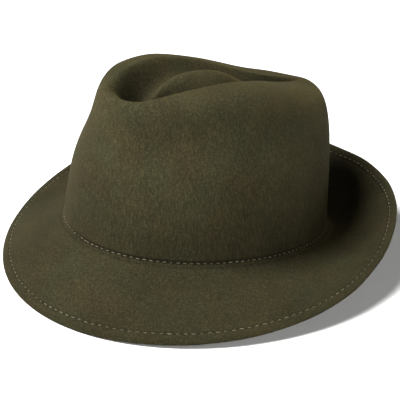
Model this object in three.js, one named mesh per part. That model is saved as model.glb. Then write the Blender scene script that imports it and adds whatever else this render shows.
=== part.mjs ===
// A trilby moulded from one piece of felt, resting on its brim.
// Millimetres, +Z up, the floor at z = 0. The front faces -Y and the wearer's left is +X.
// Turn is the angle around the hat: 0 at the front, 90 at the side, 180 at the back.
// The right side mirrors the left.
import * as THREE from "three";

// Driving sizes, all on the outside of the felt.
const headHalfLength = 102;
const headHalfWidth = 85;
const crownHeight = 110;
const brimWidth = 51.5;
const feltThickness = 2.5;
const footRadius = 4;
const edgeRound = 0.45 * feltThickness;

// How the hat rests: the snapped brim props the front up, and the felt is pressed flat.
const restTilt = THREE.MathUtils.degToRad(9.4);
const pressedDepth = 1;
const pressedThickness = 1.3;

// Finger pinches at the front: the middle of each hollow, how far it spreads around the hat,
// and a power that sets how close under the rim it is deepest.
const pinch = { depth: 6.4, turn: 55, turnSpread: 27, height: 2.35 };

// How fine the felt is divided.
const columns = 64;
const brimSteps = 10;
const footSteps = 4;
const wallSteps = 16;
const dentSteps = 13;
const fineSteps = 80;
const rimCrowding = 1.5;

// The brim, front to back. width and lift are shares of the brim width; root and edge are
// its slopes in degrees where it leaves the crown and at its edge.
const brimRows = [
  { turn: 0, width: 1.03, lift: -0.05, root: -49, edge: -50 },
  { turn: 22.5, width: 1.02, lift: -0.035, root: -45, edge: -48 },
  { turn: 45, width: 1.01, lift: 0, root: -38, edge: -41 },
  { turn: 67.5, width: 1.005, lift: 0.03, root: -31, edge: -23 },
  { turn: 90, width: 1.0, lift: 0.04, root: -22, edge: 8 },
  { turn: 112.5, width: 0.985, lift: 0.035, root: -3, edge: 42 },
  { turn: 135, width: 0.975, lift: 0.015, root: 17, edge: 61 },
  { turn: 157.5, width: 0.97, lift: -0.01, root: 29, edge: 64 },
  { turn: 180, width: 0.96, lift: -0.02, root: 31, edge: 62 },
];

// The crown, front to back. rimAlong, rimAcross and rimHeight place the rim of the dent, as
// shares of the head's half length, its half width and the crown height. lean is the share
// of the way in that the wall goes at an even slope, and fullness squares its shoulder.
const crownRows = [
  { turn: 0, rimAlong: -0.9, rimAcross: 0, rimHeight: 0.872, lean: 0.4, fullness: 2.35 },
  { turn: 22.5, rimAlong: -0.85, rimAcross: 0.175, rimHeight: 0.88, lean: 0.28, fullness: 2.15 },
  { turn: 45, rimAlong: -0.73, rimAcross: 0.265, rimHeight: 0.916, lean: 0.1, fullness: 2.35 },
  { turn: 67.5, rimAlong: -0.53, rimAcross: 0.345, rimHeight: 0.962, lean: 0.19, fullness: 2.9 },
  { turn: 90, rimAlong: -0.245, rimAcross: 0.378, rimHeight: 0.985, lean: 0.3, fullness: 3.0 },
  { turn: 112.5, rimAlong: 0.1, rimAcross: 0.3, rimHeight: 0.947, lean: 0.29, fullness: 2.8 },
  { turn: 135, rimAlong: 0.45, rimAcross: 0.14, rimHeight: 0.872, lean: 0.2, fullness: 3.7 },
  { turn: 157.5, rimAlong: 0.75, rimAcross: 0.06, rimHeight: 0.828, lean: 0.13, fullness: 5.6 },
  { turn: 180, rimAlong: 0.88, rimAcross: 0, rimHeight: 0.822, lean: 0.07, fullness: 6.5 },
];

// The dent inside the rim. ridgeAlong and ridgeHeight place the raised middle, as shares of
// the head's half length and the crown height. groove is the depth of the channel between
// the rim and the middle, as a share of the crown height, and a small onset puts its deepest
// line near the rim.
const dentRows = [
  { turn: 0, ridgeAlong: -0.55, ridgeHeight: 0.86, groove: 0.12, onset: 1.3 },
  { turn: 22.5, ridgeAlong: -0.53, ridgeHeight: 0.885, groove: 0.15, onset: 1.25 },
  { turn: 45, ridgeAlong: -0.46, ridgeHeight: 0.93, groove: 0.19, onset: 1.1 },
  { turn: 67.5, ridgeAlong: -0.33, ridgeHeight: 0.967, groove: 0.15, onset: 0.9 },
  { turn: 90, ridgeAlong: -0.15, ridgeHeight: 0.973, groove: 0.1, onset: 0.8 },
  { turn: 112.5, ridgeAlong: 0.04, ridgeHeight: 0.947, groove: 0.08, onset: 0.8 },
  { turn: 135, ridgeAlong: 0.23, ridgeHeight: 0.87, groove: 0.06, onset: 0.8 },
  { turn: 157.5, ridgeAlong: 0.42, ridgeHeight: 0.785, groove: 0.04, onset: 0.8 },
  { turn: 180, ridgeAlong: 0.55, ridgeHeight: 0.745, groove: 0.03, onset: 0.8 },
];

const feltColour = 0x4a4530;

// A smooth reading of one named column of a table at any turn. The rows are evenly spaced,
// and past either end they repeat in the mirror.
function read(rows, name, turn, mirrorSign = 1) {
  const last = rows.length - 1;
  const place = (turn / 180) * last;
  const k = Math.min(Math.floor(place), last - 1);
  const at = (i) => {
    if (i < 0) return mirrorSign * rows[-i][name];
    if (i > last) return mirrorSign * rows[2 * last - i][name];
    return rows[i][name];
  };
  const t = place - k;
  const [a, b, c, d] = [at(k - 1), at(k), at(k + 1), at(k + 2)];
  const slopeIn = (c - a) / 2;
  const slopeOut = (d - b) / 2;
  const curve = (2 * (b - c) + slopeIn + slopeOut) * t + (3 * (c - b) - 2 * slopeIn - slopeOut);
  return (curve * t + slopeIn) * t + b;
}

function bell(offset) {
  return Math.exp(-offset * offset);
}

// Points picked along a fine section, closer together towards the end that meets the rim.
function picked(section, steps, rimAtEnd) {
  const reach = [0];
  for (let i = 1; i < section.length; i += 1) {
    reach.push(reach[i - 1] + section[i].distanceTo(section[i - 1]));
  }
  const whole = reach[reach.length - 1];
  const result = [];
  for (let i = 0; i <= steps; i += 1) {
    const share = i / steps;
    const wanted = whole * (rimAtEnd ? 1 - (1 - share) ** rimCrowding : share ** rimCrowding);
    const k = Math.max(1, reach.findIndex((r) => r >= wanted - 1e-9));
    const between = (wanted - reach[k - 1]) / (reach[k] - reach[k - 1]);
    result.push(section[k - 1].clone().lerp(section[k], Math.min(between, 1)));
  }
  return result;
}

// The crown's foot line at a turn: its point and the level direction away from the head.
function foot(turn) {
  const angle = THREE.MathUtils.degToRad(turn);
  const lift = read(brimRows, "lift", turn) * brimWidth;
  const point = new THREE.Vector3(
    headHalfWidth * Math.sin(angle), -headHalfLength * Math.cos(angle), lift);
  const outward = new THREE.Vector3(
    Math.sin(angle) / headHalfWidth, -Math.cos(angle) / headHalfLength, 0).normalize();
  return { point, outward };
}

function rim(turn) {
  return new THREE.Vector3(
    read(crownRows, "rimAcross", turn, -1) * headHalfWidth,
    read(crownRows, "rimAlong", turn) * headHalfLength,
    read(crownRows, "rimHeight", turn) * crownHeight);
}

function ridge(turn) {
  return new THREE.Vector3(
    0,
    read(dentRows, "ridgeAlong", turn) * headHalfLength,
    read(dentRows, "ridgeHeight", turn) * crownHeight);
}

// The brim and the rounded foot, from the edge in to the crown.
function brimSection(turn) {
  const { point, outward } = foot(turn);
  const top = rim(turn);
  const wayIn = Math.hypot(top.x - point.x, top.y - point.y);
  const lean = Math.atan2(read(crownRows, "lean", turn) * wayIn, top.z - point.z);
  const root = THREE.MathUtils.degToRad(read(brimRows, "root", turn));
  const edge = THREE.MathUtils.degToRad(read(brimRows, "edge", turn));
  const width = read(brimRows, "width", turn) * brimWidth;
  const wall = lean - Math.PI / 2;
  const section = [];
  const pen = point.clone();
  const advance = (slope, step) => {
    pen.addScaledVector(outward, Math.cos(slope) * step);
    pen.z += Math.sin(slope) * step;
    section.push(pen.clone());
  };
  for (let i = 0; i < footSteps; i += 1) {
    const slope = THREE.MathUtils.lerp(wall, root, (i + 0.5) / footSteps);
    advance(slope, (footRadius * (root - wall)) / footSteps);
  }
  for (let i = 0; i < brimSteps; i += 1) {
    const slope = THREE.MathUtils.lerp(root, edge, (i + 0.5) / brimSteps);
    advance(slope, width / brimSteps);
  }
  return section.reverse();
}

// The crown's wall, from the foot up to the rim, with the finger pinch pressed in.
function wallSection(turn) {
  const { point, outward } = foot(turn);
  const top = rim(turn);
  const lean = read(crownRows, "lean", turn);
  const power = 2 / read(crownRows, "fullness", turn);
  const section = [];
  for (let i = 0; i <= fineSteps; i += 1) {
    const angle = (i / fineSteps) * (Math.PI / 2);
    const rise = i === fineSteps ? 1 : Math.sin(angle) ** power;
    const shoulder = i === fineSteps ? 1 : 1 - Math.cos(angle) ** power;
    const wayIn = lean * rise + (1 - lean) * shoulder;
    const spot = new THREE.Vector3(
      THREE.MathUtils.lerp(point.x, top.x, wayIn),
      THREE.MathUtils.lerp(point.y, top.y, wayIn),
      THREE.MathUtils.lerp(point.z, top.z, rise));
    const pressed = pinch.depth
      * bell((turn - pinch.turn) / pinch.turnSpread)
      * Math.sin(Math.PI * rise ** pinch.height) ** 2;
    section.push(spot.addScaledVector(outward, -pressed));
  }
  return picked(section, wallSteps, true);
}

// The dent, from just inside the rim to just before the raised middle.
function dentSection(turn) {
  const top = rim(turn);
  const middle = ridge(turn);
  const groove = read(dentRows, "groove", turn) * crownHeight;
  const onset = read(dentRows, "onset", turn);
  const section = [];
  for (let i = 0; i <= fineSteps; i += 1) {
    const share = i / fineSteps;
    const spot = top.clone().lerp(middle, share);
    const blend = THREE.MathUtils.smoothstep(share, 0, 1);
    const channel = Math.sin(Math.PI * share ** onset) ** 2;
    spot.z = THREE.MathUtils.lerp(top.z, middle.z, blend) - groove * channel;
    section.push(spot);
  }
  return picked(section, dentSteps, false).slice(1, dentSteps);
}

// One side of the hat's outer skin as columns of points, each from the brim's edge to the
// raised middle. The other side is its mirror image, and they share the middle.
function outerColumns() {
  const result = [];
  for (let j = 0; j < columns; j += 1) {
    const around = (j / columns) * 360;
    const turn = Math.min(around, 360 - around);
    const side = around > 180 ? -1 : 1;
    const column = [...brimSection(turn), ...wallSection(turn), ...dentSection(turn), ridge(turn)];
    if (turn === 0 || turn === 180) column.forEach((p) => p.setX(0));
    column.forEach((p) => p.setX(side * p.x));
    result.push(column);
  }
  return result;
}

// Outward normals of the outer skin, from each point's four neighbours.
function skinNormals(skin) {
  const rows = skin[0].length;
  const mirror = (j) => (columns - j) % columns;
  return skin.map((column, j) => column.map((point, i) => {
    const before = skin[(j + columns - 1) % columns];
    const after = skin[(j + 1) % columns];
    const outer = column[Math.max(i - 1, 0)];
    const inner = i === rows - 1 ? skin[mirror(j)][i - 1] : column[i + 1];
    const along = inner.clone().sub(outer);
    let across = after[i].clone().sub(before[i]);
    if (i === rows - 1) across = new THREE.Vector3(0, Math.sin((j / columns) * 2 * Math.PI), 0);
    if (i === rows - 1 && mirror(j) === j) {
      return new THREE.Vector3(0, 0, 1);
    }
    return across.cross(along).normalize();
  }));
}

// The tilt at which the hat rests, in the hat's own plane of symmetry.
function rest(point) {
  return point.applyAxisAngle(new THREE.Vector3(1, 0, 0), -restTilt);
}

// The closed skin of the hat: outer face, rounded edge and inner face.
function feltGeometry() {
  const outer = outerColumns();
  const normals = skinNormals(outer);
  const rows = outer[0].length;
  const inner = outer.map((column, j) => column.map(
    (point, i) => point.clone().addScaledVector(normals[j][i], -feltThickness)));
  const edge = outer.map((column, j) => {
    const outward = column[0].clone().sub(column[1]).normalize();
    return column[0].clone().lerp(inner[j][0], 0.5).addScaledVector(outward, edgeRound);
  });
  outer.flat().forEach(rest);
  inner.flat().forEach(rest);
  edge.forEach(rest);
  const lowest = Math.min(...inner.flat().map((p) => p.z), ...edge.map((p) => p.z));
  const settle = (point, floor) => {
    point.z = Math.max(point.z - lowest - pressedDepth, floor);
  };
  outer.flat().forEach((p) => settle(p, pressedThickness));
  edge.forEach((p) => settle(p, pressedThickness / 2));
  inner.flat().forEach((p) => settle(p, 0));

  const positions = [];
  const put = (point) => positions.push(point.x, point.y, point.z) / 3 - 1;
  const number = (skin) => {
    const numbers = skin.map((column) => column.slice(0, rows - 1).map(put));
    for (let j = 0; j <= columns / 2; j += 1) numbers[j].push(put(skin[j][rows - 1]));
    for (let j = columns / 2 + 1; j < columns; j += 1) {
      numbers[j].push(numbers[columns - j][rows - 1]);
    }
    return numbers;
  };
  const outerNumbers = number(outer);
  const innerNumbers = number(inner);
  const edgeNumbers = edge.map(put);

  const faces = [];
  const quad = (a, b, c, d) => faces.push(a, b, c, a, c, d);
  for (let j = 0; j < columns; j += 1) {
    const k = (j + 1) % columns;
    for (let i = 0; i < rows - 1; i += 1) {
      quad(outerNumbers[j][i], outerNumbers[k][i], outerNumbers[k][i + 1], outerNumbers[j][i + 1]);
      quad(innerNumbers[k][i], innerNumbers[j][i], innerNumbers[j][i + 1], innerNumbers[k][i + 1]);
    }
    quad(edgeNumbers[j], edgeNumbers[k], outerNumbers[k][0], outerNumbers[j][0]);
    quad(innerNumbers[j][0], innerNumbers[k][0], edgeNumbers[k], edgeNumbers[j]);
  }
  const geometry = new THREE.BufferGeometry();
  geometry.setAttribute("position", new THREE.Float32BufferAttribute(positions, 3));
  geometry.setIndex(faces);
  geometry.computeBoundingBox();
  const middle = geometry.boundingBox.getCenter(new THREE.Vector3());
  geometry.translate(0, -middle.y, 0);
  geometry.computeVertexNormals();
  return geometry;
}

const felt = new THREE.MeshStandardMaterial({ color: feltColour, roughness: 0.95, metalness: 0 });
const feltBody = new THREE.Mesh(feltGeometry(), felt);
feltBody.name = "felt_body";

const trilby = new THREE.Group();
trilby.name = "trilby";
trilby.add(feltBody);

export default trilby;
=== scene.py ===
"""Dresses the trilby: brushed wool felt, two rows of stitches and a plain studio.

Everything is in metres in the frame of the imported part. The hat's front faces -Y, the
wearer's left is +X, and the floor is at z = 0.
"""

import logging
import math
import random
from dataclasses import dataclass, field
from enum import Enum

import bmesh
import bpy
from mathutils import Matrix, Vector, kdtree, noise
from mathutils.bvhtree import BVHTree


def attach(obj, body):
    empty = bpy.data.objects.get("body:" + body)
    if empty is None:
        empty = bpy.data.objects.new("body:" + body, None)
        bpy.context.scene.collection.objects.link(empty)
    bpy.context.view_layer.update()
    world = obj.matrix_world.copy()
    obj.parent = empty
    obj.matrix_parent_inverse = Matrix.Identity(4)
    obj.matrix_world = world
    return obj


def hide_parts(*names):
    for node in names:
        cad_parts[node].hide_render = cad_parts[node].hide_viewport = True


MM = 0.001
LOG = logging.getLogger("trilby")

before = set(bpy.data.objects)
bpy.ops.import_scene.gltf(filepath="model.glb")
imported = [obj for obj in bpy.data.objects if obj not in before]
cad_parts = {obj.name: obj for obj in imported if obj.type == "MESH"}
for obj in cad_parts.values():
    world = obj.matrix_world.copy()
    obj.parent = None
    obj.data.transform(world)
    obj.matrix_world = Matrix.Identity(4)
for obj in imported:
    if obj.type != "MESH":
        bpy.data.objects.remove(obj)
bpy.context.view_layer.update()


def srgb(colour: str) -> tuple[float, float, float, float]:
    """Turns an sRGB hex colour into Blender's linear colour.

    Args:
        colour: The colour as #rrggbb.

    Returns:
        Linear red, green and blue, and an alpha of 1.
    """
    parts = (int(colour[i:i + 2], 16) / 255 for i in (1, 3, 5))
    linear = [p / 12.92 if p <= 0.04045 else ((p + 0.055) / 1.055) ** 2.4 for p in parts]
    return (linear[0], linear[1], linear[2], 1.0)


def add_node(
    tree: bpy.types.NodeTree,
    kind: str,
    values: dict[str | int, object] | None = None,
    links: dict[str | int, bpy.types.NodeSocket] | None = None,
    **settings: object,
) -> bpy.types.Node:
    """Adds one shader node.

    Args:
        tree: The material's node tree.
        kind: The node's type name.
        values: Values of its input sockets, by name, or by number where names repeat.
        links: Output sockets that its input sockets are joined to, named the same way.
        **settings: The node's own properties.

    Returns:
        The new node.
    """
    node = tree.nodes.new(kind)
    for name, setting in settings.items():
        setattr(node, name, setting)
    for socket, value in (values or {}).items():
        node.inputs[socket].default_value = value
    for socket, source in (links or {}).items():
        tree.links.new(source, node.inputs[socket])
    return node


def new_material(name: str) -> tuple[bpy.types.Material, bpy.types.NodeTree]:
    """Makes an empty node material.

    Args:
        name: The material's name.

    Returns:
        The material and its node tree, which holds only the output node.
    """
    material = bpy.data.materials.new(name)
    material.use_nodes = True
    tree = material.node_tree
    tree.nodes.clear()
    add_node(tree, "ShaderNodeOutputMaterial")
    return material, tree


def finish_surface(tree: bpy.types.NodeTree, shader: bpy.types.Node) -> None:
    """Joins a shader to the material's output.

    Args:
        tree: The material's node tree.
        shader: The node whose first output is the surface.
    """
    output = next(n for n in tree.nodes if n.type == "OUTPUT_MATERIAL")
    tree.links.new(shader.outputs[0], output.inputs["Surface"])


def mesh_object(name: str, shape: bmesh.types.BMesh) -> bpy.types.Object:
    """Turns a bmesh into an object at the origin and frees the bmesh.

    Args:
        name: The piece's name.
        shape: The finished bmesh.

    Returns:
        The linked object, shaded smooth.
    """
    mesh = bpy.data.meshes.new(name)
    shape.to_mesh(mesh)
    shape.free()
    mesh.shade_smooth()
    piece = bpy.data.objects.new(name, mesh)
    bpy.context.scene.collection.objects.link(piece)
    return piece


class Face(Enum):
    """The two faces of the felt that a row of stitches shows on."""

    OUTER = "outer"
    INNER = "inner"


@dataclass(frozen=True)
class HatSizes:
    """The hat's own sizes, the same as in the part."""

    head_half_length: float = 102 * MM
    head_half_width: float = 85 * MM
    brim_width: float = 51.5 * MM
    felt_thickness: float = 2.5 * MM
    rest_tilt: float = math.radians(9.4)
    foot_centre: Vector = field(default_factory=lambda: Vector((0, -1.87, 24.03)) * MM)
    # Height of the crown's foot line, as shares of the brim width, at evenly spaced turns
    # from the front to the back.
    foot_lift: tuple[float, ...] = (-0.05, -0.035, 0, 0.03, 0.04, 0.035, 0.015, -0.01, -0.02)

    def level(self, point: Vector) -> Vector:
        """Gives a point of the resting hat as seen with the hat's foot level."""
        return Matrix.Rotation(self.rest_tilt, 3, "X") @ (point - self.foot_centre)

    def resting(self, point: Vector) -> Vector:
        """Gives a point of the level hat as the hat rests."""
        return Matrix.Rotation(-self.rest_tilt, 3, "X") @ point + self.foot_centre

    def foot_point(self, turn: float) -> Vector:
        """Gives the crown's foot line.

        Args:
            turn: The angle around the hat in radians, 0 at the front.

        Returns:
            The point of the foot line in the frame of the resting hat.
        """
        folded = abs(math.remainder(turn, math.tau)) / math.pi * (len(self.foot_lift) - 1)
        step = min(int(folded), len(self.foot_lift) - 2)
        low, high = self.foot_lift[step], self.foot_lift[step + 1]
        lift = (low + (high - low) * (folded - step)) * self.brim_width
        return self.resting(Vector((
            self.head_half_width * math.sin(turn),
            -self.head_half_length * math.cos(turn),
            lift)))


@dataclass(frozen=True)
class FeltLine:
    """A soft line around the hat, with one value on the line and another away from it.

    The centre is measured from the crown's foot or the brim's edge, and the value changes
    between the inner and the outer distance from the centre, all in millimetres.
    """

    centre: float
    inner: float
    outer: float
    at_line: float
    away: float

    def build(
        self, tree: bpy.types.NodeTree, measured: bpy.types.NodeSocket,
    ) -> bpy.types.NodeSocket:
        """Gives one value on the line and another away from it.

        Args:
            tree: The material's node tree.
            measured: The distance in millimetres.

        Returns:
            The value's socket.
        """
        offset = add_node(
            tree, "ShaderNodeMath", operation="SUBTRACT",
            values={1: self.centre}, links={0: measured})
        far = add_node(
            tree, "ShaderNodeMath", operation="ABSOLUTE", links={0: offset.outputs[0]})
        value = add_node(
            tree, "ShaderNodeMapRange", interpolation_type="SMOOTHSTEP",
            values={
                "From Min": self.inner, "From Max": self.outer,
                "To Min": self.at_line, "To Max": self.away},
            links={"Value": far.outputs[0]})
        return value.outputs[0]


@dataclass(frozen=True)
class WoolFelt:
    """Wool felt, blocked and brushed: matt, with a short soft nap that catches light.

    The eye sees a fine grain of fibre ends, faint streaks where the nap was brushed up the
    crown, browner and greener patches, and a paler halo where the surface turns away. Its
    colour holds painted light: it is painted paler towards the top as a painted highlight, and
    darker at the crown's foot, in its folds, in the crease and along the brim's row of stitches
    as painted shade. The felt is pulled in along each row of stitches, has a crease beside the
    crown's row, and stands a little proud between the brim's row and its edge.
    """

    name: str = "brushed_wool_felt"
    deep: str = "#1d1b13"
    body: str = "#2c291a"
    tip: str = "#423d2a"
    brown: str = "#fffaf2"
    green: str = "#f4fbf6"
    sheen_tint: str = "#9c8a4d"
    roughness: float = 0.95
    specular: float = 0.08
    sheen: float = 0.15
    sheen_roughness: float = 0.35
    # Sizes of the patterns, in millimetres.
    fibre_end: float = 0.75
    tuft: float = 2.2
    streak_width: float = 1.1
    streak_length: float = 8.0
    patch: float = 34.0
    hue_patch: float = 22.0
    nap_height: float = 0.13
    # Shares of the tufts and of the streaks in the nap.
    tuft_share: float = 0.22
    streak_share: float = 0.3
    palest_patch: float = 1.15
    darkest_patch: float = 0.86
    # Painted light: the colour is painted paler towards the top as a painted highlight, and darker
    # at the crown's foot and where folds shut the felt in as painted shade.
    painted_shade_at_foot: float = 0.93
    painted_light_at_top: float = 1.3
    painted_light_height: float = 78.0
    painted_fold_shade: float = 0.56
    painted_shade_begins: float = 0.06
    painted_shade_full: float = 0.6
    # Where the lines around the hat lie, in millimetres.
    row_from_edge: float = 6.8
    crease_from_row: float = 3.3

    def build(self) -> bpy.types.Material:
        """Builds the felt from sizes in millimetres.

        Returns:
            The felt's material.
        """
        material, tree = new_material(self.name)
        place = add_node(tree, "ShaderNodeTexCoord")
        in_mm = add_node(
            tree, "ShaderNodeVectorMath", operation="SCALE",
            values={"Scale": 1 / MM}, links={0: place.outputs["Object"]}).outputs[0]
        from_foot, from_edge, painted_shade_mask = (
            add_node(tree, "ShaderNodeAttribute", attribute_name=name).outputs["Fac"]
            for name in ("foot_mm", "edge_mm", "painted_shade_mask"))
        grain = self.grain(tree, in_mm)
        colour = self.mottled(tree, in_mm, self.fibres(tree, grain))
        # Painted light: the colour is scaled paler towards the top and darker in folds, at the
        # crown's foot, in its crease and along the brim's row of stitches.
        for share in (
            self.fading(tree, from_foot, painted_shade_mask),
            self.painted_groove_shade(tree, from_foot, from_edge),
        ):
            colour = add_node(
                tree, "ShaderNodeVectorMath", operation="SCALE",
                links={0: colour, "Scale": share}).outputs[0]
        relief = self.relief(tree, grain, from_foot, from_edge)
        bump = add_node(
            tree, "ShaderNodeBump", values={"Strength": 1.0, "Distance": MM},
            links={"Height": relief})
        shader = add_node(
            tree, "ShaderNodeBsdfPrincipled",
            values={
                "Roughness": self.roughness,
                "Specular IOR Level": self.specular,
                "Sheen Weight": self.sheen,
                "Sheen Roughness": self.sheen_roughness,
                "Sheen Tint": srgb(self.sheen_tint),
            },
            links={"Base Color": colour, "Normal": bump.outputs[0]})
        finish_surface(tree, shader)
        return material

    def grain(
        self, tree: bpy.types.NodeTree, in_mm: bpy.types.NodeSocket,
    ) -> bpy.types.NodeSocket:
        """Mixes fibre ends, tufts and the streaks of the brush into the nap's pattern.

        Args:
            tree: The material's node tree.
            in_mm: The place on the hat in millimetres.

        Returns:
            The pattern's socket, about 0.3 in the gaps and 0.7 on the tips.
        """
        # Fibre ends are about 0.1 mm, and are drawn coarser so that they show.
        ends = add_node(
            tree, "ShaderNodeTexNoise",
            values={"Scale": 1 / self.fibre_end, "Detail": 3.0, "Roughness": 0.65},
            links={"Vector": in_mm})
        tufts = add_node(
            tree, "ShaderNodeTexNoise",
            values={"Scale": 1 / self.tuft, "Detail": 3.0, "Roughness": 0.6},
            links={"Vector": in_mm})
        brushed = add_node(
            tree, "ShaderNodeMapping",
            values={"Scale": (1 / self.streak_width,) * 2 + (1 / self.streak_length,)},
            links={"Vector": in_mm})
        streaks = add_node(
            tree, "ShaderNodeTexNoise",
            values={"Scale": 1.0, "Detail": 2.0, "Roughness": 0.55},
            links={"Vector": brushed.outputs[0]})
        nap = add_node(
            tree, "ShaderNodeMix", data_type="FLOAT", values={0: self.tuft_share},
            links={2: ends.outputs[0], 3: tufts.outputs[0]})
        return add_node(
            tree, "ShaderNodeMix", data_type="FLOAT", values={0: self.streak_share},
            links={2: nap.outputs[0], 3: streaks.outputs[0]}).outputs[0]

    def fibres(
        self, tree: bpy.types.NodeTree, grain: bpy.types.NodeSocket,
    ) -> bpy.types.NodeSocket:
        """Colours the nap from the gaps between the fibres to their tips.

        Args:
            tree: The material's node tree.
            grain: The nap's pattern.

        Returns:
            The colour's socket.
        """
        shade = add_node(
            tree, "ShaderNodeMapRange",
            values={"From Min": 0.33, "From Max": 0.67}, links={"Value": grain})
        low = add_node(
            tree, "ShaderNodeMapRange",
            values={"From Min": 0.0, "From Max": 0.5}, links={"Value": shade.outputs[0]})
        high = add_node(
            tree, "ShaderNodeMapRange",
            values={"From Min": 0.5, "From Max": 1.0}, links={"Value": shade.outputs[0]})
        dark = add_node(
            tree, "ShaderNodeMix", data_type="RGBA",
            values={6: srgb(self.deep), 7: srgb(self.body)}, links={0: low.outputs[0]})
        return add_node(
            tree, "ShaderNodeMix", data_type="RGBA", values={7: srgb(self.tip)},
            links={0: high.outputs[0], 6: dark.outputs[2]}).outputs[2]

    def mottled(
        self, tree: bpy.types.NodeTree, in_mm: bpy.types.NodeSocket,
        colour: bpy.types.NodeSocket,
    ) -> bpy.types.NodeSocket:
        """Gives the felt paler and darker, browner and greener patches.

        Args:
            tree: The material's node tree.
            in_mm: The place on the hat in millimetres.
            colour: The felt's even colour.

        Returns:
            The colour's socket.
        """
        patches = add_node(
            tree, "ShaderNodeTexNoise",
            values={"Scale": 1 / self.patch, "Detail": 2.0}, links={"Vector": in_mm})
        wear = add_node(
            tree, "ShaderNodeMapRange",
            values={
                "From Min": 0.3, "From Max": 0.7,
                "To Min": self.darkest_patch, "To Max": self.palest_patch},
            links={"Value": patches.outputs[0]})
        worn = add_node(
            tree, "ShaderNodeVectorMath", operation="SCALE",
            links={0: colour, "Scale": wear.outputs[0]})
        hues = add_node(
            tree, "ShaderNodeTexNoise",
            values={"Scale": 1 / self.hue_patch, "Detail": 2.0, "Roughness": 0.5},
            links={"Vector": in_mm})
        hue = add_node(
            tree, "ShaderNodeMapRange",
            values={"From Min": 0.38, "From Max": 0.62}, links={"Value": hues.outputs[0]})
        tint = add_node(
            tree, "ShaderNodeMix", data_type="RGBA",
            values={6: srgb(self.green), 7: srgb(self.brown)}, links={0: hue.outputs[0]})
        return add_node(
            tree, "ShaderNodeVectorMath", operation="MULTIPLY",
            links={0: worn.outputs[0], 1: tint.outputs[2]}).outputs[0]

    def fading(
        self, tree: bpy.types.NodeTree, from_foot: bpy.types.NodeSocket,
        painted_shade_mask: bpy.types.NodeSocket,
    ) -> bpy.types.NodeSocket:
        """Paints a highlight towards the top, and shade at the foot and in folds, into the colour.

        Args:
            tree: The material's node tree.
            from_foot: The distance from the crown's foot.
            painted_shade_mask: How far the felt is shut in, from 0 to 1.

        Returns:
            The socket of the share by which the colour is scaled.
        """
        # Painted highlight and shade: paler towards the top, darker at the crown's foot.
        painted_top_light = add_node(
            tree, "ShaderNodeMapRange", interpolation_type="SMOOTHSTEP",
            values={
                "From Min": 0.0, "From Max": self.painted_light_height,
                "To Min": self.painted_shade_at_foot, "To Max": self.painted_light_at_top},
            links={"Value": from_foot})
        # Painted shade: the colour is darker where folds shut the felt in.
        fold_shade = add_node(
            tree, "ShaderNodeMapRange",
            values={
                "From Min": self.painted_shade_begins, "From Max": self.painted_shade_full,
                "To Min": 1.0, "To Max": self.painted_fold_shade},
            links={"Value": painted_shade_mask})
        return add_node(
            tree, "ShaderNodeMath", operation="MULTIPLY",
            links={0: painted_top_light.outputs[0], 1: fold_shade.outputs[0]}).outputs[0]

    def painted_groove_shade(
        self, tree: bpy.types.NodeTree, from_foot: bpy.types.NodeSocket,
        from_edge: bpy.types.NodeSocket,
    ) -> bpy.types.NodeSocket:
        """Paints shade along the crown's foot, its crease and the brim's row of stitches.

        Args:
            tree: The material's node tree.
            from_foot: The distance from the crown's foot.
            from_edge: The distance from the brim's edge.

        Returns:
            The socket of the share by which the colour is scaled.
        """
        # Painted shade: darker along the groove at the crown's foot, in the crease below it and
        # along the brim's row of stitches.
        foot = FeltLine(centre=0.9, inner=0.3, outer=1.9, at_line=0.62, away=1.0)
        crease = FeltLine(
            centre=-self.crease_from_row, inner=0.2, outer=1.3, at_line=0.82, away=1.0)
        trough = FeltLine(
            centre=self.row_from_edge, inner=0.2, outer=1.2, at_line=0.85, away=1.0)
        crown = add_node(
            tree, "ShaderNodeMath", operation="MULTIPLY",
            links={0: foot.build(tree, from_foot), 1: crease.build(tree, from_foot)})
        return add_node(
            tree, "ShaderNodeMath", operation="MULTIPLY",
            links={0: crown.outputs[0], 1: trough.build(tree, from_edge)}).outputs[0]

    def relief(
        self, tree: bpy.types.NodeTree, grain: bpy.types.NodeSocket,
        from_foot: bpy.types.NodeSocket, from_edge: bpy.types.NodeSocket,
    ) -> bpy.types.NodeSocket:
        """Gives the height of the surface in millimetres.

        Args:
            tree: The material's node tree.
            grain: The nap's pattern.
            from_foot: The distance from the crown's foot.
            from_edge: The distance from the brim's edge.

        Returns:
            The height's socket.
        """
        height = add_node(
            tree, "ShaderNodeMapRange", clamp=False,
            values={
                "From Min": 0.3, "From Max": 0.7,
                "To Min": -self.nap_height, "To Max": self.nap_height},
            links={"Value": grain}).outputs[0]
        foot = FeltLine(centre=0.0, inner=0.2, outer=1.8, at_line=-0.5, away=0.0)
        crease = FeltLine(
            centre=-self.crease_from_row, inner=0.1, outer=1.3, at_line=-0.22, away=0.0)
        trough = FeltLine(
            centre=self.row_from_edge, inner=0.2, outer=1.6, at_line=-0.4, away=0.0)
        swell = FeltLine(
            centre=self.row_from_edge / 2, inner=0.6, outer=3.2, at_line=0.3, away=0.0)
        for line, measured in (
            (foot, from_foot), (crease, from_foot), (trough, from_edge), (swell, from_edge),
        ):
            height = add_node(
                tree, "ShaderNodeMath", operation="ADD",
                links={0: height, 1: line.build(tree, measured)}).outputs[0]
        return height


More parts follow.
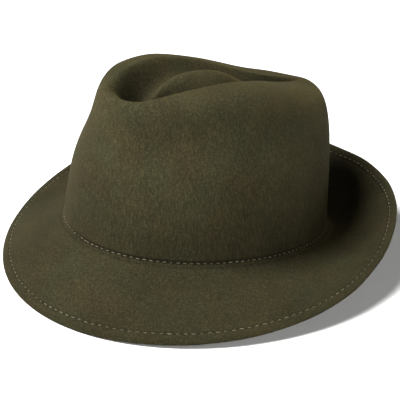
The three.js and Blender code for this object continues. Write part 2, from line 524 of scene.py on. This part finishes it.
@dataclass(frozen=True)
class CottonThread:
    """Twisted cotton sewing thread: matt and paler than the felt.

    The eye sees the fine bumps of its plies, and stitches that are more or less faded.
    """

    name: str = "cotton_thread"
    light: str = "#8b846c"
    dark: str = "#4b4736"
    roughness: float = 0.8
    specular: float = 0.3
    sheen: float = 0.2
    # Sizes of the patterns, in millimetres.
    twist: float = 0.5
    twist_height: float = 0.1
    fading: float = 9.0
    fading_share: float = 0.65

    def build(self) -> bpy.types.Material:
        """Builds the thread from sizes in millimetres.

        Returns:
            The thread's material.
        """
        material, tree = new_material(self.name)
        place = add_node(tree, "ShaderNodeTexCoord")
        in_mm = add_node(
            tree, "ShaderNodeVectorMath", operation="SCALE",
            values={"Scale": 1 / MM}, links={0: place.outputs["Object"]})
        # The plies are about 0.2 mm, and are drawn coarser so that they show.
        plies = add_node(
            tree, "ShaderNodeTexNoise",
            values={"Scale": 1 / self.twist, "Detail": 2.0},
            links={"Vector": in_mm.outputs[0]})
        faded = add_node(
            tree, "ShaderNodeTexNoise",
            values={"Scale": 1 / self.fading, "Detail": 1.0},
            links={"Vector": in_mm.outputs[0]})
        both = add_node(
            tree, "ShaderNodeMix", data_type="FLOAT",
            values={0: self.fading_share}, links={2: plies.outputs[0], 3: faded.outputs[0]})
        pale = add_node(
            tree, "ShaderNodeMapRange",
            values={"From Min": 0.35, "From Max": 0.65}, links={"Value": both.outputs[0]})
        colour = add_node(
            tree, "ShaderNodeMix", data_type="RGBA",
            values={6: srgb(self.dark), 7: srgb(self.light)}, links={0: pale.outputs[0]})
        bump = add_node(
            tree, "ShaderNodeBump", values={"Strength": 1.0, "Distance": self.twist_height * MM},
            links={"Height": plies.outputs[0]})
        shader = add_node(
            tree, "ShaderNodeBsdfPrincipled",
            values={
                "Roughness": self.roughness,
                "Specular IOR Level": self.specular,
                "Sheen Weight": self.sheen,
            },
            links={"Base Color": colour.outputs[2], "Normal": bump.outputs[0]})
        finish_surface(tree, shader)
        return material


@dataclass(frozen=True)
class NeedleHoleShade:
    """Painted shade: dark lumps for the deep shade in the needle holes, sizes in millimetres."""

    name: str = "needle_hole_shade"
    colour: str = "#100e08"
    fibre: float = 0.4
    fibre_height: float = 0.1

    def build(self) -> bpy.types.Material:
        """Builds the holes' shade from sizes in millimetres.

        Returns:
            The material of the holes.
        """
        material, tree = new_material(self.name)
        place = add_node(tree, "ShaderNodeTexCoord")
        fibres = add_node(
            tree, "ShaderNodeTexNoise",
            values={"Scale": 1 / (self.fibre * MM), "Detail": 2.0},
            links={"Vector": place.outputs["Object"]})
        bump = add_node(
            tree, "ShaderNodeBump", values={"Strength": 1.0, "Distance": self.fibre_height * MM},
            links={"Height": fibres.outputs[0]})
        shader = add_node(
            tree, "ShaderNodeBsdfPrincipled",
            values={"Base Color": srgb(self.colour), "Roughness": 1.0, "Specular IOR Level": 0.0},
            links={"Normal": bump.outputs[0]})
        finish_surface(tree, shader)
        return material


@dataclass(frozen=True)
class PaleFloor:
    """A plain matt white studio table."""

    name: str = "pale_floor"
    colour: str = "#f4f4f2"
    roughness: float = 0.9

    def build(self) -> bpy.types.Material:
        """Builds the floor's material.

        Returns:
            The material of the floor.
        """
        material, tree = new_material(self.name)
        shader = add_node(
            tree, "ShaderNodeBsdfPrincipled",
            values={"Base Color": srgb(self.colour), "Roughness": self.roughness})
        finish_surface(tree, shader)
        return material


@dataclass
class FeltBody:
    """The hat itself: crown and brim of one piece of felt."""

    sizes: HatSizes
    finish: WoolFelt
    name: str = "felt_hat"
    subdivisions: int = 2
    merge_distance: float = 0.01 * MM
    # Triangles whose faces and corners differ less than this are joined.
    join_bend: float = math.radians(50)
    join_skew: float = math.radians(60)
    # Where each round of smoothing of the nose begins, in the level hat.
    nose_zones: tuple[float, ...] = (-58 * MM, -64 * MM, -70 * MM, -76 * MM)
    nose_floor: float = 72 * MM
    nose_rounds: int = 6
    # The felt's unevenness, which grows from nothing between two heights above the floor.
    unevenness: float = 0.35 * MM
    unevenness_size: float = 26 * MM
    even_height: float = 2 * MM
    uneven_height: float = 12 * MM
    # How finely the brim's edge and the crown's foot are followed.
    edge_samples: int = 144
    edge_parts: int = 6
    foot_samples: int = 720
    # How the felt's occlusion by its own folds is looked for, for the painted shade in them, and
    # how often it is evened out.
    shelter_rays: int = 12
    shelter_start: float = 0.5 * MM
    shelter_reach: float = 120 * MM
    shelter_rounds: int = 4
    # Found as the felt is built, and read by the rows of stitches.
    edge: list[Vector] = field(default_factory=list, init=False)
    surface: BVHTree | None = field(default=None, init=False)

    def build(self) -> bpy.types.Object:
        """Builds the felt from a copy of the part's own solid.

        Returns:
            The finished piece.
        """
        cage = self.quads()
        smooth = cage.modifiers.new("smooth", "SUBSURF")
        smooth.levels = smooth.render_levels = self.subdivisions
        shown = cage.evaluated_get(bpy.context.evaluated_depsgraph_get())
        shape = bmesh.new()
        shape.from_mesh(shown.to_mesh())
        shown.to_mesh_clear()
        bpy.data.objects.remove(cage)
        self.roll_nose(shape)
        self.soften(shape)
        self.edge = self.edge_line(shape)
        self.surface = BVHTree.FromBMesh(shape)
        self.measure(shape)
        self.find_shelter(shape)
        piece = mesh_object(self.name, shape)
        piece.data.materials.append(self.finish.build())
        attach(piece, "root")
        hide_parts("felt_body")
        return piece

    def quads(self) -> bpy.types.Object:
        """Copies the part's solid and joins its loose triangles into four-sided faces.

        Returns:
            The coarse object that is subdivided.
        """
        shape = bmesh.new()
        shape.from_mesh(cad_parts["felt_body"].data)
        bmesh.ops.remove_doubles(shape, verts=shape.verts, dist=self.merge_distance)
        bmesh.ops.join_triangles(
            shape, faces=shape.faces, angle_face_threshold=self.join_bend,
            angle_shape_threshold=self.join_skew)
        return mesh_object(self.name + "_cage", shape)

    def roll_nose(self, shape: bmesh.types.BMesh) -> None:
        """Rolls the lip of the dent softly over the nose, where the felt bends most gently.

        Args:
            shape: The subdivided felt.
        """
        levels = {vert: self.sizes.level(vert.co) for vert in shape.verts}
        for zone in self.nose_zones:
            front = [
                vert for vert, level in levels.items()
                if level.y < zone and level.z > self.nose_floor]
            for _ in range(self.nose_rounds):
                bmesh.ops.smooth_vert(
                    shape, verts=front, factor=0.5,
                    use_axis_x=True, use_axis_y=True, use_axis_z=True)

    def soften(self, shape: bmesh.types.BMesh) -> None:
        """Gives the felt the slight unevenness of a soft hat, none of it on the floor.

        Args:
            shape: The subdivided felt.
        """
        shape.normal_update()
        growth = self.uneven_height - self.even_height
        moves = []
        for vert in shape.verts:
            wave = noise.noise(vert.co / self.unevenness_size)
            raised = min(1.0, max(0.0, (vert.co.z - self.even_height) / growth))
            outward = vert.normal if vert.normal.dot(vert.co) > 0 else -vert.normal
            moves.append(outward * (wave * raised * self.unevenness))
        for vert, move in zip(shape.verts, moves):
            vert.co += move
            vert.co.z = max(vert.co.z, 0.0)

    def edge_line(self, shape: bmesh.types.BMesh) -> list[Vector]:
        """Finds the brim's edge all the way around.

        Args:
            shape: The subdivided felt.

        Returns:
            Points of the edge in order, one in each even step of turn.
        """
        widest: dict[int, tuple[float, Vector]] = {}
        for vert in shape.verts:
            level = self.sizes.level(vert.co)
            turn = math.atan2(level.x, -level.y) % math.tau
            step = int(turn / math.tau * self.edge_samples)
            reach = math.hypot(level.x, level.y)
            if step not in widest or reach > widest[step][0]:
                widest[step] = (reach, vert.co.copy())
        return [widest[step][1] for step in sorted(widest)]

    def measure(self, shape: bmesh.types.BMesh) -> None:
        """Stores each point's distance from the brim's edge and from the crown's foot.

        The felt's finish reads them, in millimetres, to pull the felt in along the stitches,
        to paint shade along the stitches, the crease and the foot, and a highlight towards the top.

        Args:
            shape: The subdivided felt.
        """
        edge_layer = shape.verts.layers.float.new("edge_mm")
        foot_layer = shape.verts.layers.float.new("foot_mm")
        foot = [
            self.sizes.foot_point(math.tau * k / self.foot_samples)
            for k in range(self.foot_samples)]
        for line, layer in ((dense(self.edge, self.edge_parts), edge_layer), (foot, foot_layer)):
            tree = kdtree.KDTree(len(line))
            for k, point in enumerate(line):
                tree.insert(point, k)
            tree.balance()
            for vert in shape.verts:
                near, _, distance = tree.find(vert.co)
                level, foot_level = self.sizes.level(vert.co), self.sizes.level(near)
                outside = math.hypot(level.x, level.y) > math.hypot(foot_level.x, foot_level.y)
                on_brim = layer == foot_layer and outside
                vert[layer] = (-distance if on_brim else distance) / MM

    def find_shelter(self, shape: bmesh.types.BMesh) -> None:
        """Stores how far each point is shut in by the felt around it, from 0 to 1.

        The felt's finish reads it to paint shade into the colour where folds shut the felt in.

        Args:
            shape: The subdivided felt.
        """
        rays = self.dome_rays()
        shape.normal_update()
        shape.verts.index_update()
        values = []
        for vert in shape.verts:
            turned = vert.normal.to_track_quat("Z", "Y").to_matrix()
            start = vert.co + vert.normal * self.shelter_start
            met = sum(
                self.surface.ray_cast(start, turned @ ray, self.shelter_reach)[0] is not None
                for ray in rays)
            values.append(met / len(rays))
        around = [[edge.other_vert(vert).index for edge in vert.link_edges] for vert in shape.verts]
        for _ in range(self.shelter_rounds):
            values = [
                (value + sum(values[k] for k in near)) / (1 + len(near))
                for value, near in zip(values, around)]
        layer = shape.verts.layers.float.new("painted_shade_mask")
        for vert, value in zip(shape.verts, values):
            vert[layer] = value

    def dome_rays(self) -> list[Vector]:
        """Spreads rays over the half of the sky above a level surface.

        Returns:
            The rays' directions, in a spiral of even golden turns.
        """
        golden_turn = math.pi * (3 - math.sqrt(5))
        rays = []
        for k in range(self.shelter_rays):
            rise = math.sqrt((k + 0.5) / self.shelter_rays)
            level = math.sqrt(1 - rise * rise)
            turn = golden_turn * k
            rays.append(Vector((level * math.cos(turn), level * math.sin(turn), rise)))
        return rays


def dense(line: list[Vector], parts: int) -> list[Vector]:
    """Divides each stretch of a closed line evenly.

    Args:
        line: The line's points in order.
        parts: How many parts each stretch gets.

    Returns:
        The points of the finer line.
    """
    return [
        point.lerp(line[(k + 1) % len(line)], part / parts)
        for k, point in enumerate(line) for part in range(parts)]


def evenly(line: list[Vector], spacing: float) -> list[Vector]:
    """Lays points along a closed line at one spacing.

    Args:
        line: The line's points in order.
        spacing: The wanted spacing, which is adjusted to fit a whole number of points.

    Returns:
        The evenly spaced points.
    """
    closed = line + line[:1]
    lengths = [(b - a).length for a, b in zip(closed, closed[1:])]
    count = round(sum(lengths) / spacing)
    step = sum(lengths) / count
    points: list[Vector] = []
    walked = 0.0
    for start, end, length in zip(closed, closed[1:], lengths):
        while len(points) < count and len(points) * step < walked + length:
            points.append(start.lerp(end, (len(points) * step - walked) / length))
        walked += length
    return points


@dataclass
class StitchRow:
    """A row of running stitches that shows on both faces of the felt."""

    name: str
    felt: FeltBody
    thread: bpy.types.Material
    hole: bpy.types.Material
    pitch: float
    length: float
    seed: int
    thread_width: float = 0.38 * MM
    # The needle holes are dark lumps of painted shade.
    hole_length: float = 0.75 * MM
    hole_width: float = 0.5 * MM
    hole_height: float = 0.16 * MM
    # How unevenly the stitches are sewn: turned, shorter or longer, sunk or proud, shifted.
    askew: float = 0.09
    shortest: float = 0.82
    longest: float = 1.1
    deepest: float = -0.3
    proudest: float = 0.08
    shift: float = 0.1 * MM
    segments: int = 6
    rings: int = 5
    batch: int = 8

    def line(self) -> list[Vector]:
        """Gives the row's line on the felt's outer face; each kind of row has its own."""
        raise NotImplementedError

    def build(self) -> bpy.types.Object:
        """Builds the row, with the far face's stitches in the gaps between the near ones.

        Returns:
            The finished piece.
        """
        chance = random.Random(self.seed)
        points = evenly(self.line(), self.pitch / 2)
        shape = bmesh.new()
        # A few stitches at a time, because adding to a large bmesh is slow.
        for first in range(0, len(points), self.batch):
            few = bmesh.new()
            for k in range(first, min(first + self.batch, len(points))):
                along = (points[(k + 1) % len(points)] - points[k - 1]).normalized()
                face = Face.OUTER if k % 2 == 0 else Face.INNER
                self.add_stitch(few, points[k], along, face, chance)
            mesh = bpy.data.meshes.new("few_stitches")
            few.to_mesh(mesh)
            few.free()
            shape.from_mesh(mesh)
            bpy.data.meshes.remove(mesh)
        piece = mesh_object(self.name, shape)
        piece.data.materials.append(self.thread)
        piece.data.materials.append(self.hole)
        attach(piece, "root")
        return piece

    def add_stitch(
        self, shape: bmesh.types.BMesh, point: Vector, along: Vector, face: Face,
        chance: random.Random,
    ) -> None:
        """Adds one stitch, a thread whose ends dive into two needle holes drawn as painted shade.

        Args:
            shape: The row's bmesh.
            point: The stitch's middle on the outer face.
            along: The row's direction there.
            face: The face of the felt that the stitch lies on.
            chance: The row's own seeded chance, for the unevenness of the sewing.
        """
        seat, normal, _, _ = self.felt.surface.find_nearest(point)
        if face is Face.INNER:
            inner = seat - normal * self.felt.sizes.felt_thickness
            seat, normal, _, _ = self.felt.surface.find_nearest(inner)
        askew = Matrix.Rotation(chance.uniform(-self.askew, self.askew), 3, normal)
        across = (askew @ normal.cross(along)).normalized()
        along = across.cross(normal).normalized()
        turned = Matrix((along, across, normal)).transposed().to_4x4()
        length = self.length * chance.uniform(self.shortest, self.longest)
        proud = self.thread_width * chance.uniform(self.deepest, self.proudest)
        seat = seat + across * chance.uniform(-self.shift, self.shift)
        # Painted shade: a dark lump at each end for the needle hole.
        for end in (-1, 1):
            self.add_lump(
                shape, seat + along * (end * length / 2), turned,
                (self.hole_length, self.hole_width, self.hole_height), material=1)
        self.add_lump(
            shape, seat + normal * proud, turned,
            (length, self.thread_width, self.thread_width), material=0)

    def add_lump(
        self, shape: bmesh.types.BMesh, middle: Vector, turned: Matrix,
        size: tuple[float, float, float], material: int,
    ) -> None:
        """Adds one smooth lump with pointed ends.

        Args:
            shape: The row's bmesh.
            middle: The lump's middle.
            turned: The row's directions there: along, across and out of the felt.
            size: The lump's length, width and height.
            material: Which of the row's materials it gets: 0 the thread, 1 the hole's painted
                shade.
        """
        scaled = Matrix.Diagonal((*(side / 2 for side in size), 1))
        upright = Matrix.Rotation(math.pi / 2, 4, "Y")
        made = bmesh.ops.create_uvsphere(
            shape, u_segments=self.segments, v_segments=self.rings, radius=1.0,
            matrix=Matrix.Translation(middle) @ turned @ scaled @ upright)
        if material:
            for vert in made["verts"]:
                for face in vert.link_faces:
                    face.material_index = material


@dataclass
class CrownStitches(StitchRow):
    """The row around the foot of the crown."""

    samples: int = 360
    search: float = 6 * MM

    def line(self) -> list[Vector]:
        """Lays the crown's foot line onto the felt's outer face.

        Returns:
            The line's points in order.
        """
        points = []
        for k in range(self.samples):
            point = self.felt.sizes.foot_point(math.tau * k / self.samples)
            outward = Vector((point.x, point.y, 0)).normalized()
            start = point + outward * self.search
            hit = self.felt.surface.ray_cast(start, -outward, 2 * self.search)[0]
            points.append(hit or self.felt.surface.find_nearest(point)[0])
        return points


@dataclass
class BrimStitches(StitchRow):
    """The row that follows the brim's edge."""

    stride: float = 0.25 * MM
    drop: float = 50 * MM

    def line(self) -> list[Vector]:
        """Walks in from the brim's edge over its upper face to where the row lies.

        Returns:
            The line's points in order.
        """
        inset = self.felt.finish.row_from_edge * MM
        edge = self.felt.edge
        points = []
        for k, point in enumerate(edge):
            along = edge[(k + 1) % len(edge)] - edge[k - 1]
            inward = Vector((-along.y, along.x, 0)).normalized()
            if inward.dot(Vector((point.x, point.y, 0))) > 0:
                inward = -inward
            points.append(self.walk_in(point, inward, inset))
        return points

    def walk_in(self, start: Vector, inward: Vector, inset: float) -> Vector:
        """Follows the upper face from the edge for a given length.

        Args:
            start: A point of the brim's edge.
            inward: The level direction in towards the crown.
            inset: How far to go along the surface.

        Returns:
            The point that lies that far in.
        """
        walked = 0.0
        last = start
        reach = 0.0
        while walked < inset and reach < 2 * inset:
            reach += self.stride
            above = start + inward * reach + Vector((0, 0, self.drop))
            hit = self.felt.surface.ray_cast(above, Vector((0, 0, -1)))[0]
            if hit is not None:
                walked += (hit - last).length
                last = hit
        return last


@dataclass(frozen=True)
class Camera:
    """The photograph's viewpoint, measured from the middle of the crown's foot."""

    azimuth: float = math.radians(46.0)
    elevation: float = math.radians(28.0)
    roll: float = math.radians(0.55)
    distance: float = 0.905
    pixels_per_mm: float = 1.402
    centre_px: tuple[float, float] = (197.97, 212.15)
    frame_px: int = 400
    sensor_mm: float = 36.0

    def build(self, target: Vector) -> None:
        """Places the camera.

        Args:
            target: The middle of the crown's foot.
        """
        sin_a, cos_a = math.sin(self.azimuth), math.cos(self.azimuth)
        sin_e, cos_e = math.sin(self.elevation), math.cos(self.elevation)
        right = Vector((cos_a, sin_a, 0))
        back = Vector((sin_a * cos_e, -cos_a * cos_e, sin_e))
        up = back.cross(right)
        sin_r, cos_r = math.sin(self.roll), math.cos(self.roll)
        axes = Matrix((right * cos_r + up * sin_r, up * cos_r - right * sin_r, back))
        data = bpy.data.cameras.new("camera")
        data.sensor_width = self.sensor_mm
        data.lens = self.sensor_mm * self.distance / MM * self.pixels_per_mm / self.frame_px
        data.shift_x = (self.frame_px / 2 - self.centre_px[0]) / self.frame_px
        data.shift_y = (self.centre_px[1] - self.frame_px / 2) / self.frame_px
        camera = bpy.data.objects.new("camera", data)
        place = Matrix.Translation(target + back * self.distance)
        camera.matrix_world = place @ axes.transposed().to_4x4()
        bpy.context.scene.collection.objects.link(camera)
        bpy.context.scene.camera = camera


@dataclass(frozen=True)
class SoftBox:
    """A square studio light aimed at the hat."""

    name: str
    azimuth: float
    elevation: float
    distance: float
    width: float
    power: float

    def build(self, target: Vector) -> None:
        """Places the light.

        Args:
            target: The point that the light is aimed at.
        """
        data = bpy.data.lights.new(self.name, "AREA")
        data.size = self.width
        data.energy = self.power
        light = bpy.data.objects.new(self.name, data)
        turn, rise = math.radians(self.azimuth), math.radians(self.elevation)
        away = Vector((
            math.sin(turn) * math.cos(rise), -math.cos(turn) * math.cos(rise), math.sin(rise)))
        light.location = target + away * self.distance
        light.rotation_euler = away.to_track_quat("Z", "Y").to_euler()
        bpy.context.scene.collection.objects.link(light)


@dataclass(frozen=True)
class Studio:
    """A plain pale floor and soft light, the main one from the camera's upper left."""

    floor_half: float = 6.0
    sky: str = "#ffffff"
    sky_strength: float = 0.03
    lights: tuple[SoftBox, ...] = (
        SoftBox("key", azimuth=-33, elevation=60, distance=2.2, width=0.8, power=115),
        SoftBox("fill", azimuth=82, elevation=26, distance=2.2, width=0.8, power=24),
    )

    def build(self, target: Vector) -> None:
        """Builds the floor, the lights and the even surroundings.

        Args:
            target: The point that the lights are aimed at.
        """
        shape = bmesh.new()
        bmesh.ops.create_grid(shape, x_segments=1, y_segments=1, size=self.floor_half)
        floor = mesh_object("floor", shape)
        floor.data.materials.append(PaleFloor().build())
        for light in self.lights:
            light.build(target)
        world = bpy.data.worlds.new("surroundings")
        world.use_nodes = True
        glow = world.node_tree.nodes["Background"]
        glow.inputs["Color"].default_value = srgb(self.sky)
        glow.inputs["Strength"].default_value = self.sky_strength
        bpy.context.scene.world = world
        bpy.context.scene.view_settings.view_transform = "Standard"


def main() -> None:
    """Builds the hat and the studio, and reports each piece."""
    logging.basicConfig(level=logging.INFO, format="%(name)s: %(message)s")
    sizes = HatSizes()
    Camera().build(sizes.foot_centre)
    Studio().build(sizes.foot_centre)
    felt = FeltBody(sizes, WoolFelt())
    thread = CottonThread().build()
    # Painted shade for the needle holes.
    hole = NeedleHoleShade().build()
    rows = (
        CrownStitches(
            "crown_stitches", felt, thread, hole, pitch=4.4 * MM, length=2.9 * MM, seed=3),
        BrimStitches(
            "brim_stitches", felt, thread, hole, pitch=5.1 * MM, length=3.4 * MM, seed=8),
    )
    for builder in (felt, *rows):
        piece = builder.build()
        LOG.info("%s: %d faces", piece.name, len(piece.data.polygons))


if __name__ == "__main__":
    main()
